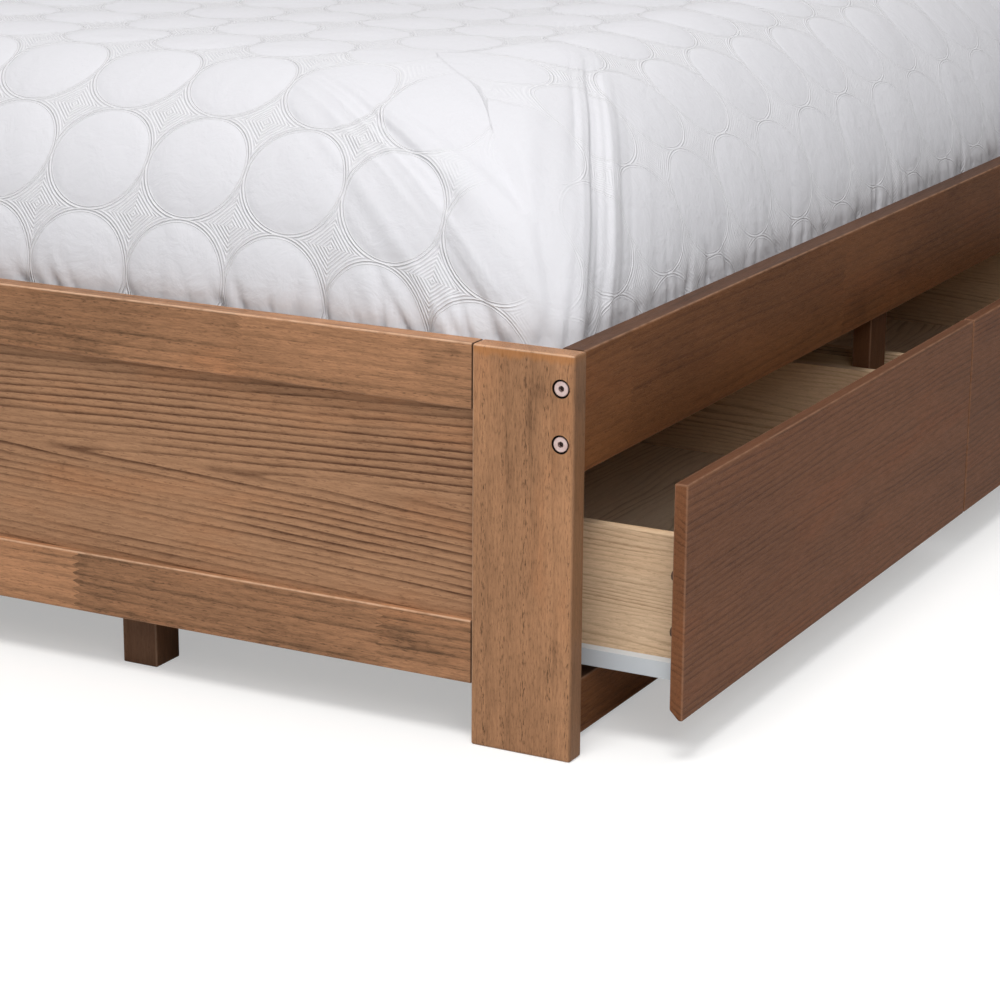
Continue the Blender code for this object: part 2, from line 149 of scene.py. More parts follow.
# ---- node helpers ------------------------------------------------------------------------
class Paint:
    """Adds nodes to one material's tree; inputs are other nodes' outputs or plain values."""

    def __init__(self, name, roughness=0.5):
        self.material = bpy.data.materials.new(name)
        self.material.use_nodes = True
        self.tree = self.material.node_tree
        self.shader = self.tree.nodes["Principled BSDF"]
        self.shader.inputs["Roughness"].default_value = roughness

    def feed(self, socket, value):
        if isinstance(value, bpy.types.NodeSocket):
            self.tree.links.new(value, socket)
        else:
            socket.default_value = value

    def math(self, operation, *values, clamp=False):
        node = self.tree.nodes.new("ShaderNodeMath")
        node.operation = operation
        node.use_clamp = clamp
        for socket, value in zip(node.inputs, values):
            self.feed(socket, value)
        return node.outputs[0]

    def vector(self, x, y, z):
        node = self.tree.nodes.new("ShaderNodeCombineXYZ")
        for socket, value in zip(node.inputs, (x, y, z)):
            self.feed(socket, value)
        return node.outputs[0]

    def split(self, vector):
        node = self.tree.nodes.new("ShaderNodeSeparateXYZ")
        self.feed(node.inputs[0], vector)
        return node.outputs[0], node.outputs[1], node.outputs[2]

    def noise(self, vector, scale=1.0, detail=3.0, roughness=0.55, distortion=0.0):
        node = self.tree.nodes.new("ShaderNodeTexNoise")
        self.feed(node.inputs["Vector"], vector)
        node.inputs["Scale"].default_value = scale
        node.inputs["Detail"].default_value = detail
        node.inputs["Roughness"].default_value = roughness
        node.inputs["Distortion"].default_value = distortion
        return node.outputs["Fac"]

    def white(self, value):
        node = self.tree.nodes.new("ShaderNodeTexWhiteNoise")
        node.noise_dimensions = "1D"
        self.feed(node.inputs["W"], value)
        return node.outputs["Value"]

    def remap(self, value, low, high, to_low=0.0, to_high=1.0, smooth=True):
        node = self.tree.nodes.new("ShaderNodeMapRange")
        node.interpolation_type = "SMOOTHSTEP" if smooth else "LINEAR"
        for socket, number in zip(node.inputs[:5], (value, low, high, to_low, to_high)):
            self.feed(socket, number)
        return node.outputs[0]

    def mix(self, factor, first, second):
        node = self.tree.nodes.new("ShaderNodeMix")
        node.data_type = "RGBA"
        self.feed(node.inputs["Factor"], factor)
        for socket, value in ((node.inputs["A"], first), (node.inputs["B"], second)):
            self.feed(socket, (*value, 1.0) if isinstance(value, tuple) else value)
        return node.outputs["Result"]

    def bump(self, height, strength, distance, normal=None):
        node = self.tree.nodes.new("ShaderNodeBump")
        node.inputs["Strength"].default_value = strength
        node.inputs["Distance"].default_value = distance
        self.feed(node.inputs["Height"], height)
        if normal is not None:
            self.feed(node.inputs["Normal"], normal)
        return node.outputs[0]

    def from_axis(self, point, low, high):
        """Distance from the line along Y through the middle of a box."""
        across = self.math("SUBTRACT", point[0], (low.x + high.x) / 2)
        up = self.math("SUBTRACT", point[2], (low.z + high.z) / 2)
        squared = self.math("ADD", self.math("MULTIPLY", across, across),
                            self.math("MULTIPLY", up, up))
        return self.math("SQRT", squared)

    def object_coordinates(self):
        node = self.tree.nodes.new("ShaderNodeTexCoord")
        return node.outputs["Object"]

    def finish(self, colour, normal=None, roughness=None):
        self.feed(self.shader.inputs["Base Color"], colour)
        if normal is not None:
            self.feed(self.shader.inputs["Normal"], normal)
        if roughness is not None:
            self.feed(self.shader.inputs["Roughness"], roughness)
        return self.material


# ---- wood --------------------------------------------------------------------------------
class Stain:
    """How one kind of board looks: its colours and how strongly each layer of grain shows.

    ring is the width of a growth ring and block the length of a finger-jointed block, in metres.
    crown is the place of the first pointed ring, along and across the board.  top is the depth
    of a tinted band under the upper edge and its tint.  The last colour is the pale one that the
    edges turn to, partly wear and partly painted highlight.
    """

    def __init__(self, light, dark, ring=0.011, rings=0.22, streaks=0.40, pores=0.35,
                 blotches=0.35, block=0.0, gloss=0.42, specular=0.16, worn=0.90, warm=0.35,
                 crown=None, taper=0.042, waviness=0.5, ripple=0.16, top=None,
                 pale_edge=(0.95, 0.70, 0.52)):
        self.light, self.dark = light, dark
        self.ring, self.rings = ring, rings
        self.streaks, self.pores, self.blotches = streaks, pores, blotches
        self.block, self.gloss, self.specular = block, gloss, specular
        self.worn, self.warm = worn, warm
        self.crown, self.taper, self.waviness = crown, taper, waviness
        self.ripple, self.top, self.pale_edge = ripple, top, pale_edge


EDGE_WIDTH = 0.0020       # how far the pale edge line, part wear and part painted highlight, reaches in from an edge
UNLIT_EDGE_SHARE = 0.1           # share of the pale edge line kept on edges facing away from the light, as it is partly painted highlight
FINGER_PITCH = 0.0070     # of the finger joints between a rail's blocks
DEEP_BAND = 0.002         # a tinted band deeper than this stops short of the top face
COUNTERBORE = 0.0085, 0.0005     # radius that holds a counterbore, and the depth where its painted shade begins
# The dark of a rail's end joints, and the painted shade down in a counterbore.
SEAM_COLOUR, COUNTERBORE_SHADE_COLOUR = (0.030, 0.016, 0.009), (0.020, 0.012, 0.008)
APEX_ROUNDING = 0.003     # of the pointed rings in a flat-sawn board


def edge_mask(paint, point, node, skip=None):
    """1 on a box-shaped board's edges, falling to 0 within EDGE_WIDTH of them.

    The edges of the two faces across axis skip are left out.  The bottom's edges and the right
    posts' outer edges face away from the light and keep only a small share of the pale line,
    which is partly painted highlight.
    """
    low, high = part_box(node)
    near = []
    shares = ((1.0, UNLIT_EDGE_SHARE if "post_right" in node else 1.0), (1.0, 1.0), (UNLIT_EDGE_SHARE, 1.0))
    for value, start, end, (low_share, high_share) in zip(point, low, high, shares):
        at_low = paint.remap(paint.math("SUBTRACT", value, start), 0.0, EDGE_WIDTH,
                             low_share, 0.0)
        at_high = paint.remap(paint.math("SUBTRACT", end, value), 0.0, EDGE_WIDTH,
                              high_share, 0.0)
        near.append(paint.math("MAXIMUM", at_low, at_high))
    if skip is not None:
        near[skip] = 0.0
    pairs = [paint.math("MULTIPLY", near[i], near[j]) for i, j in ((0, 1), (1, 2), (2, 0))]
    return paint.math("MAXIMUM", paint.math("MAXIMUM", pairs[0], pairs[1]), pairs[2])


def growth_rings(paint, stain, along, across, through, warp):
    """How many growth rings lie below each point: the fraction is its place within one ring.

    A crown board is sawn flat: its rings are hyperbolas that open towards +along from apexes on
    the line across = crown[1].  Otherwise the rings lie nearly along the board.
    """
    if stain.crown:
        side = paint.math("SUBTRACT", across, stain.crown[1])
        side = paint.math("MULTIPLY_ADD", warp, 0.030 * stain.waviness, side)
        squared = paint.math("MULTIPLY_ADD", side, side, APEX_ROUNDING ** 2)
        run = paint.math("SUBTRACT", along, stain.crown[0])
        radius = paint.math("MULTIPLY_ADD", run, -stain.taper, paint.math("SQRT", squared))
        radius = paint.math("ADD", radius, 1.0)
    else:
        slanted = paint.math("MULTIPLY_ADD", through, 0.6, across)
        radius = paint.math("MULTIPLY_ADD", warp, 0.045 * stain.waviness, slanted)
    return paint.math("DIVIDE", radius, stain.ring)


def post_painted_shade(paint, stain, point, colour):
    """Painted shade on the right foot post: over its outer face, which the light misses, and down
    in its two counterbores.
    """
    x, y, _ = point
    # Painted shade over the outer face.
    outer = paint.math("SUBTRACT", POST_HIGH.x, x)
    shaded = paint.remap(outer, 0.0002, 0.0022, 0.55, 0.0)
    colour = paint.mix(shaded, colour, stain.dark)
    # Painted shade down in each counterbore.
    for place in ("upper", "lower"):
        from_bolt = paint.from_axis(point, *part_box(f"rail_bolt_{place}"))
        inside = paint.math("LESS_THAN", from_bolt, COUNTERBORE[0])
        sunk = paint.math("GREATER_THAN", y, POST_LOW.y + COUNTERBORE[1])
        colour = paint.mix(paint.math("MULTIPLY", inside, sunk), colour, COUNTERBORE_SHADE_COLOUR)
    return colour


def wood(node, stain, grain, seed):
    """Stained or laminated wood with its grain along one world axis."""
    paint = Paint("wood_" + node)
    point = paint.split(paint.object_coordinates())
    x, y, z = point
    axis = "xyz".index(grain)
    along, across, through = {"x": (x, z, y), "y": (y, z, x), "z": (z, x, y)}[grain]
    shift = 3.17 * seed + 0.5
    moved_across = paint.math("ADD", across, shift)
    moved_through = paint.math("ADD", through, 0.71 * shift)

    # Finger-jointed blocks along the board, each with a tone of its own.
    tone, joint = None, None
    if stain.block:
        finger = paint.math("PINGPONG", paint.math("ADD", across, through), FINGER_PITCH / 2)
        place = paint.math("MULTIPLY_ADD", finger, 2.2, paint.math("ADD", along, shift))
        place = paint.math("DIVIDE", place, stain.block)
        tone = paint.white(paint.math("ADD", paint.math("FLOOR", place), seed + 0.37))
        moved_across = paint.math("MULTIPLY_ADD", tone, 2.9, moved_across)
        offset = paint.math("ABSOLUTE", paint.math("SUBTRACT", paint.math("FRACT", place), 0.5))
        joint = paint.remap(offset, 0.5 - 0.0008 / stain.block, 0.5)

    def stretched(along_scale, across_scale, detail=3.0, roughness=0.6):
        """Noise drawn out along the grain."""
        moved = paint.vector(paint.math("MULTIPLY", along, along_scale),
                             paint.math("MULTIPLY", moved_across, across_scale),
                             paint.math("MULTIPLY", moved_through, across_scale))
        return paint.noise(moved, 1.0, detail, roughness)

    # Growth rings: late is dark at the outer end of each ring, early open at its start.
    warp = paint.math("SUBTRACT", stretched(2.2, 14.0, 2.0), 0.5)
    turns = growth_rings(paint, stain, along, across if stain.crown else moved_across, through,
                         warp)
    turns = paint.math("MULTIPLY_ADD", stretched(9.0, 90.0, 2.0), stain.ripple, turns)
    phase = paint.math("FRACT", paint.math("MULTIPLY", turns, -1.0))
    late = paint.math("MULTIPLY_ADD", paint.remap(phase, 0.46, 0.90), 0.70,
                      paint.remap(phase, 0.10, 0.90, 0.0, 0.30))
    late = paint.math("MULTIPLY", late, paint.remap(phase, 1.0, 0.88))
    uneven = paint.remap(stretched(3.0, 46.0, 3.0), 0.34, 0.64, 0.22, 1.0)
    early = paint.remap(phase, 0.02, 0.35, 1.0, 0.0)

    # Fine streaks, pores in the early wood, and broad clouds and patches.
    streaks = paint.remap(stretched(58.0, 640.0, 5.0, 0.75), 0.28, 0.74, smooth=False)
    pores = paint.remap(stretched(190.0, 1000.0, 3.0, 0.6), 0.50, 0.68)
    pores = paint.math("MULTIPLY", pores, paint.math("MULTIPLY_ADD", early, 0.6, 0.4))
    cloud = paint.remap(stretched(3.2, 11.0, 3.0), 0.32, 0.70)
    patch = paint.remap(stretched(9.0, 20.0, 4.0), 0.55, 0.78)

    # Everything that darkens the board, added up, and a warmer stain in places.
    shade = paint.math("MULTIPLY", paint.math("MULTIPLY", late, uneven), stain.rings)
    shade = paint.math("MULTIPLY_ADD", streaks, stain.streaks, shade)
    shade = paint.math("MULTIPLY_ADD", pores, stain.pores, shade)
    shade = paint.math("MULTIPLY_ADD", cloud, 0.7 * stain.blotches, shade)
    shade = paint.math("MULTIPLY_ADD", patch, 0.8 * stain.blotches, shade)
    if stain.block:
        shade = paint.math("MULTIPLY_ADD", paint.math("SUBTRACT", tone, 0.4), 0.18, shade)
        shade = paint.math("MULTIPLY_ADD", joint, 0.14, shade)
    shade = paint.math("ADD", shade, 0.0, clamp=True)
    colour = paint.mix(shade, stain.light, stain.dark)
    red = tuple(channel * factor for channel, factor in zip(stain.light, (1.16, 0.90, 0.70)))
    warm = paint.math("MULTIPLY", paint.remap(stretched(6.0, 24.0, 3.0), 0.48, 0.74), stain.warm)
    colour = paint.mix(warm, colour, paint.mix(shade, red, stain.dark))

    # The band under the upper edge; a deep one stops short of the top face.
    if stain.top:
        depth, tint = stain.top
        below = paint.math("SUBTRACT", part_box(node)[1].z, z)
        below = paint.math("MULTIPLY_ADD", paint.math("SUBTRACT", stretched(40.0, 90.0), 0.5),
                           1.6 * depth, below)
        band = paint.remap(below, 0.5 * depth, 1.2 * depth, 0.6, 0.0)
        if depth > DEEP_BAND:
            under_top = paint.math("LESS_THAN", z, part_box(node)[1].z - 0.0015)
            band = paint.math("MULTIPLY", band, under_top)
        colour = paint.mix(band, colour, tint)

    # Pale edges, partly wear and partly painted highlight, and the dark seams where a rail meets
    # its posts.
    ragged = paint.remap(paint.noise(paint.object_coordinates(), 90.0, 3.0), 0.20, 0.62,
                         0.35, 1.0)
    worn_and_highlit = edge_mask(paint, point, node, axis if stain.block else None)
    worn_and_highlit = paint.math("MULTIPLY", paint.math("MULTIPLY", worn_and_highlit, ragged), stain.worn)
    pale_edge = tuple(0.5 * channel + 0.5 * pale
                 for channel, pale in zip(stain.light, stain.pale_edge))
    colour = paint.mix(worn_and_highlit, colour, pale_edge)
    if stain.block:
        low, high = (corner[axis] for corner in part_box(node))
        from_end = paint.math("MINIMUM", paint.math("SUBTRACT", along, low),
                              paint.math("SUBTRACT", high, along))
        seam = paint.remap(from_end, 0.0004, 0.0013, 0.85, 0.0)
        colour = paint.mix(seam, colour, SEAM_COLOUR)
    # Painted shade on the right foot post's outer face and in its counterbores.
    if node == "foot_post_right":
        colour = post_painted_shade(paint, stain, point, colour)

    height = paint.math("MULTIPLY_ADD", pores, -0.8, paint.math("MULTIPLY", streaks, -0.4))
    height = paint.math("MULTIPLY_ADD", late, 0.25, height)
    normal = paint.bump(height, 0.30, 0.0005)
    roughness = paint.math("MULTIPLY_ADD", streaks, 0.12, stain.gloss)
    paint.shader.inputs["Specular IOR Level"].default_value = stain.specular
    return paint.finish(colour, normal, roughness)


POST = Stain((0.600, 0.310, 0.158), (0.145, 0.074, 0.038), ring=0.018, rings=0.14,
             streaks=0.46, pores=0.66, blotches=0.44, top=(0.008, (0.48, 0.20, 0.065)))
RAIL = Stain((0.620, 0.312, 0.160), (0.120, 0.064, 0.034), ring=0.009, rings=0.30,
             streaks=0.50, pores=0.40, blotches=0.48, block=0.30)
PANEL = Stain((0.520, 0.286, 0.156), (0.100, 0.042, 0.021), ring=0.0068, rings=0.72,
              streaks=0.40, pores=0.42, blotches=0.22, crown=(0.240, 0.1945), worn=0.0,
              ripple=0.30)
HEAD_PANEL = Stain((0.520, 0.286, 0.156), (0.100, 0.042, 0.021), ring=0.0085, rings=0.72,
                   streaks=0.40, pores=0.42, blotches=0.22, crown=(-0.150, 0.520), taper=0.030,
                   worn=0.0)
DARK_RAIL = Stain((0.270, 0.108, 0.040), (0.062, 0.024, 0.010), ring=0.008, rings=0.24,
                  streaks=0.42, pores=0.36, blotches=0.40, block=0.46, gloss=0.42,
                  specular=0.08, pale_edge=(0.50, 0.32, 0.22), top=(0.0012, (0.038, 0.027, 0.024)))
FRONT = Stain((0.260, 0.106, 0.048), (0.082, 0.034, 0.017), ring=0.0058, rings=0.42,
              streaks=0.46, pores=0.44, blotches=0.26, gloss=0.40, specular=0.08, warm=0.40,
              worn=0.60, ripple=0.50, pale_edge=(0.50, 0.32, 0.22),
              top=(0.0012, (0.075, 0.030, 0.015)))
DARK_POST = Stain((0.180, 0.078, 0.036), (0.060, 0.024, 0.012), ring=0.014, specular=0.1,
                  pale_edge=(0.50, 0.32, 0.22))
LEG = Stain((0.190, 0.098, 0.056), (0.066, 0.034, 0.019), ring=0.012, rings=0.15,
            specular=0.1, worn=0.3)
OAK = Stain((0.820, 0.605, 0.405), (0.330, 0.195, 0.100), ring=0.0044, rings=0.50,
            streaks=0.40, pores=0.34, blotches=0.16, gloss=0.50, warm=0.14, worn=0.0,
            waviness=1.0, ripple=1.10)
# Paler copy of OAK for the drawer bottoms: painted light, so that the insides of the drawers,
# where little light reaches, read bright.
OAK_PLY_PAINTED_LIGHT = Stain((0.920, 0.750, 0.570), (0.440, 0.310, 0.200), ring=0.0062, rings=0.46,
                streaks=0.34, pores=0.20, blotches=0.20, gloss=0.50, warm=0.12, worn=0.0,
                waviness=1.3, ripple=0.60)
PINE = Stain((0.640, 0.470, 0.280), (0.420, 0.250, 0.120), ring=0.012, rings=0.40,
             streaks=0.15, pores=0.05, blotches=0.15, gloss=0.60, worn=0.0)


def paint_wood():
    """A stain for each board, and a seed of its own so that no two share the same grain."""
    boards = []
    for end in ("foot", "head"):
        boards += [(f"{end}_post_{side}", POST, "z") for side in ("right", "left")]
        boards += [(f"{end}_{rail}_rail", RAIL, "x") for rail in ("top", "bottom")]
        panel = PANEL if end == "foot" else HEAD_PANEL
        boards += [(f"{end}_panel", panel, "x"), (f"stile_{end}", DARK_POST, "z")]
        boards += [(f"{end}_leg_{side}", LEG, "z") for side in ("right", "left")]
        boards += [(f"{end}_cross_board", PINE, "x")]
    boards += [(f"side_rail_{side}", DARK_RAIL, "y") for side in ("right", "left")]
    boards += [("lower_rail", DARK_RAIL, "y"), ("divider_1", DARK_POST, "z"),
               ("divider_2", DARK_POST, "z")]
    for number in (1, 2, 3):
        boards += [(f"drawer_{number}_front", FRONT, "y"),
                   (f"drawer_{number}_side_foot", OAK, "x"),
                   (f"drawer_{number}_side_head", OAK, "x"),
                   (f"drawer_{number}_back", OAK, "y"), (f"drawer_{number}_bottom", OAK_PLY_PAINTED_LIGHT, "y")]
    boards += [(node, PINE, "x") for node in ("runner_board_1", "runner_board_2", "slat_deck")]
    boards += [("centre_beam", PINE, "y"), ("inner_beam", PINE, "y"), ("centre_leg", PINE, "z")]
    for seed, (node, stain, grain) in enumerate(boards, 1):
        set_material(nodes[node], wood(node, stain, grain, seed))


# ---- metal -------------------------------------------------------------------------------
def enamel():
    """White epoxy enamel on bent steel, with a faint orange-peel texture."""
    paint = Paint("white_enamel", 0.34)
    point = paint.object_coordinates()
    tint = paint.remap(paint.noise(point, 9.0, 2.0), 0.3, 0.7)
    colour = paint.mix(tint, (0.54, 0.58, 0.62), (0.62, 0.66, 0.69))
    return paint.finish(colour, paint.bump(paint.noise(point, 420.0, 2.0), 0.12, 0.0004))


SOCKET_SHADE = 0.0018, 0.0028    # radii between which the painted shade in a bolt's socket ends
RIM_SHADE = 0.0050, 0.0060       # and between which its rim is painted darker, as shade


def copper_zinc(name, low, high):
    """Copper-tinted zinc on a bolt along Y, with painted shade down in its hexagonal socket and
    round its rim.
    """
    paint = Paint("copper_zinc_" + name, 0.32)
    point = paint.object_coordinates()
    tint = paint.remap(paint.noise(point, 260.0, 3.0), 0.3, 0.7)
    colour = paint.mix(tint, (0.78, 0.56, 0.52), (0.88, 0.70, 0.67))
    out = paint.from_axis(paint.split(point), low, high)
    # Painted shade: near black in the socket, and darker round the rim where it meets the
    # counterbore.
    colour = paint.mix(paint.remap(out, *SOCKET_SHADE, 1.0, 0.0), colour, (0.045, 0.024, 0.02))
    rim = paint.remap(out, *RIM_SHADE)
    colour = paint.mix(paint.math("MULTIPLY", rim, 0.5), colour, (0.30, 0.17, 0.15))
    paint.shader.inputs["Metallic"].default_value = 0.60
    return paint.finish(colour, paint.bump(paint.noise(point, 1500.0, 2.0), 0.10, 0.0002))


def paint_metal():
    """Enamel on every slide, copper-tinted zinc on the two bolts."""
    white = enamel()
    for name, target in nodes.items():
        if "slide" in name:
            set_material(target, white)
        elif name.startswith("rail_bolt"):
            set_material(target, copper_zinc(name, *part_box(name)))


# ---- quilted mattress --------------------------------------------------------------------
QUILT_PITCH = 0.0970
CIRCLE_RADIUS = 0.488     # in pitches
FIRST_CIRCLE = (0.502, 0.3465)   # X of one disc's middle at the foot, and Z of its row
EDGE_DROP = 0.215         # height of the rounded upper edge
EDGE_REACH = 0.190        # how far it reaches in over the top
COVER_GROWTH = 0.0025     # how far the cover stands outside the mattress
COVER_CORNER = 0.040      # plan radius of its corners
BASE_RADIUS = 0.016       # rounding under its lower edge
BASE_GAP = 0.0015         # between it and the slats
OPEN_STRIP = 0.012        # half the width that is left to bridge along the middle of the top
MESH_STEP = 0.0034
PUFF, GROOVE, PIPING, STAR = 0.0034, 0.0005, 0.0007, 0.0007   # heights in the quilting
SAG, SAG_START = 0.44, 0.40      # how the rows droop towards the drawer-side foot corner
FOLD_HEIGHT, PUCKER_DEPTH, TUCK_DEPTH = 0.0046, 0.0028, 0.0012
CREASE_REACH = 0.05       # how far round the cover one crease is felt
REST_HEIGHT = 0.012       # nothing stands proud below this, where the cover rests
SOFTNESS, WRINKLES = 0.0022, 0.0005


def smoothstep(value, low, high):
    t = np.clip((value - low) / (high - low), 0.0, 1.0)
    return t * t * (3.0 - 2.0 * t)


def wave_noise(x, y, seed, octaves=3, lacunarity=1.9):
    """Smooth repeatable noise from rotated sine waves, about -1 to 1."""
    generator = np.random.default_rng(seed)
    total = np.zeros_like(x)
    weight_sum = 0.0
    scale, weight = 1.0, 1.0
    for _ in range(octaves):
        for _ in range(3):
            angle, phase_a, phase_b = generator.uniform(0.0, 2.0 * math.pi, 3)
            along = x * math.cos(angle) + y * math.sin(angle)
            beside = y * math.cos(angle) - x * math.sin(angle)
            total += weight * np.sin(scale * along + phase_a
                                     + 1.3 * np.sin(0.7 * scale * beside + phase_b))
            weight_sum += weight
        scale *= lacunarity
        weight *= 0.55
    return total / weight_sum * 1.6


class Cover:
    """The cover's smooth grid: columns go round it, and rows go from its base over the top."""

    def __init__(self):
        low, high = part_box("mattress")
        self.centre = (low + high) / 2
        self.half_x = (high.x - low.x) / 2 + COVER_GROWTH
        self.half_y = (high.y - low.y) / 2 + COVER_GROWTH
        self.base, self.top = low.z + BASE_GAP, high.z
        self.make_columns()
        self.make_rows()

    def make_columns(self):
        """Even steps along the sides and round the corners, for the widest ring."""
        side_x, side_y = self.half_x - COVER_CORNER, self.half_y - COVER_CORNER
        arc = COVER_CORNER * math.pi / 2
        lengths = [side_x, arc, 2 * side_y, arc, 2 * side_x, arc, 2 * side_y, arc, side_x]
        total = sum(lengths)
        count = 2 * int(total / MESH_STEP / 2)
        self.place = (np.arange(count) + 0.5) * total / count
        edges = np.concatenate([[0.0], np.cumsum(lengths)])
        self.segment = np.clip(np.searchsorted(edges, self.place, side="right") - 1, 0, 8)
        self.within = (self.place - edges[self.segment]) / np.array(lengths)[self.segment]

    def ring(self, inset, radius):
        """Plan positions and outward normals of one ring."""
        flat_x, flat_y = self.half_x - inset - radius, self.half_y - inset - radius
        x, y = np.zeros_like(self.within), np.zeros_like(self.within)
        nx, ny = np.zeros_like(self.within), np.zeros_like(self.within)
        straight = {0: ((0, -1), (1, -1), (0, -1)), 2: ((1, -1), (1, 1), (1, 0)),
                    4: ((1, 1), (-1, 1), (0, 1)), 6: ((-1, 1), (-1, -1), (-1, 0)),
                    8: ((-1, -1), (0, -1), (0, -1))}
        for index, (start, end, normal) in straight.items():
            mask = self.segment == index
            t = self.within[mask]
            x[mask] = flat_x * (start[0] + (end[0] - start[0]) * t) + radius * normal[0]
            y[mask] = flat_y * (start[1] + (end[1] - start[1]) * t) + radius * normal[1]
            nx[mask], ny[mask] = normal
        corners = {1: (1, -1, -90), 3: (1, 1, 0), 5: (-1, 1, 90), 7: (-1, -1, 180)}
        for index, (sign_x, sign_y, first) in corners.items():
            mask = self.segment == index
            angle = np.radians(first + 90.0 * self.within[mask])
            nx[mask], ny[mask] = np.cos(angle), np.sin(angle)
            x[mask] = sign_x * flat_x + radius * nx[mask]
            y[mask] = sign_y * flat_y + radius * ny[mask]
        return x, y, nx, ny

    def make_rows(self):
        """Profile from the underside, up the side and over the rounded edge to the top."""
        rows = []
        for angle in np.radians(np.linspace(0.0, 90.0, 5)):
            rows.append((BASE_RADIUS * (1 - math.sin(angle)),
                         self.base + BASE_RADIUS * (1 - math.cos(angle))))
        edge_start = self.top - EDGE_DROP
        z = self.base + BASE_RADIUS + MESH_STEP
        while z < edge_start - 0.5 * MESH_STEP:
            rows.append((0.0, z))
            z += MESH_STEP
        quarter = 0.25 * math.pi * (EDGE_DROP + EDGE_REACH)
        for angle in np.linspace(0.0, math.pi / 2, int(quarter / MESH_STEP)):
            rows.append((EDGE_REACH * (1 - math.cos(angle)), edge_start + EDGE_DROP
                         * math.sin(angle)))
        inset = EDGE_REACH
        innermost = self.half_x - OPEN_STRIP
        step = MESH_STEP * 2
        while inset + step < innermost:
            inset += step
            rows.append((inset, self.top))
        rows.append((innermost, self.top))
        self.rows = rows
        points = np.array(rows)
        self.run = np.concatenate([[0.0], np.cumsum(np.hypot(*np.diff(points, axis=0).T))])
        self.edge_row = next(i for i, row in enumerate(rows) if row[0] >= EDGE_REACH - 1e-9)

    def surface(self):
        """Position and plan normal of every grid point."""
        shape = (len(self.rows), len(self.place))
        x, y, z, nx, ny = (np.zeros(shape) for _ in range(5))
        for index, (inset, height) in enumerate(self.rows):
            limit = min(self.half_x, self.half_y) - inset
            radius = min(COVER_CORNER + 0.75 * inset, 0.98 * limit)
            x[index], y[index], nx[index], ny[index] = self.ring(inset, radius)
            z[index] = height
        return x, y, z, nx, ny


def vertex_normals(x, y, z):
    """Outward normals of a grid that wraps round its columns."""
    round_step = [np.roll(c, -1, axis=1) - np.roll(c, 1, axis=1) for c in (x, y, z)]
    up_step = [np.gradient(c, axis=0) for c in (x, y, z)]
    normal = np.cross(np.stack(round_step, -1), np.stack(up_step, -1))
    length = np.linalg.norm(normal, axis=-1, keepdims=True)
    return normal / np.maximum(length, 1e-12)


def quilt_height(u, v):
    """Height of the quilting: padded discs in a square lattice, flat stitched stars between."""
    cell_u, cell_v = u / QUILT_PITCH, v / QUILT_PITCH
    off_u = np.abs(cell_u - np.round(cell_u))
    off_v = np.abs(cell_v - np.round(cell_v))
    radius = np.hypot(off_u, off_v) / CIRCLE_RADIUS
    disc = np.clip(1.0 - radius ** 2, 0.0, 1.0) ** 0.75
    groove = np.exp(-((radius - 0.97) / 0.045) ** 2)
    piping = np.exp(-((radius - 1.05) / 0.045) ** 2)
    star = smoothstep(radius, 1.10, 1.45)
    return PUFF * disc - GROOVE * groove + PIPING * piping + STAR * star


def tuck_creases(place, above):
    """Narrow creases that rise from the tucked edge, deepest where the cover goes under."""
    generator = np.random.default_rng(21)
    total = np.zeros_like(place)
    start = 0.0
    while start < place[0, -1] + CREASE_REACH:
        start += generator.uniform(0.009, 0.034)
        width = generator.uniform(0.0026, 0.0055)
        depth = generator.uniform(0.0016, 0.0060) * (1.0 if generator.random() < 0.6 else 0.4)
        rise = generator.uniform(0.006, 0.026)
        lean = generator.uniform(-0.55, 0.25)
        columns = np.abs(place[0] - start) < CREASE_REACH
        away = place[:, columns] - start - lean * above[:, columns]
        spread = width * (1.0 + 0.35 * np.clip(above[:, columns], 0.0, None) / rise)
        fade = np.exp(-np.clip(above[:, columns], 0.0, None) / rise)
        total[:, columns] -= depth * np.exp(-(away / spread) ** 2) * fade
    return total


def corner_folds(place, above, corner_places):
    """Long soft folds that run down towards each corner, where the cover is gathered."""
    total = np.zeros_like(place)
    for number, corner in enumerate(corner_places):
        away = place - corner
        reach = np.exp(-(away / 0.105) ** 2)
        slope = np.where(away < 0.0, 0.42, -0.20)
        line = away + slope * above
        ridges = (wave_noise(line * 95.0, above * 7.0, 31 + number, 2)
                  + 0.5 * wave_noise(line * 210.0, above * 9.0, 61 + number, 2))
        total += reach * ridges
    return total


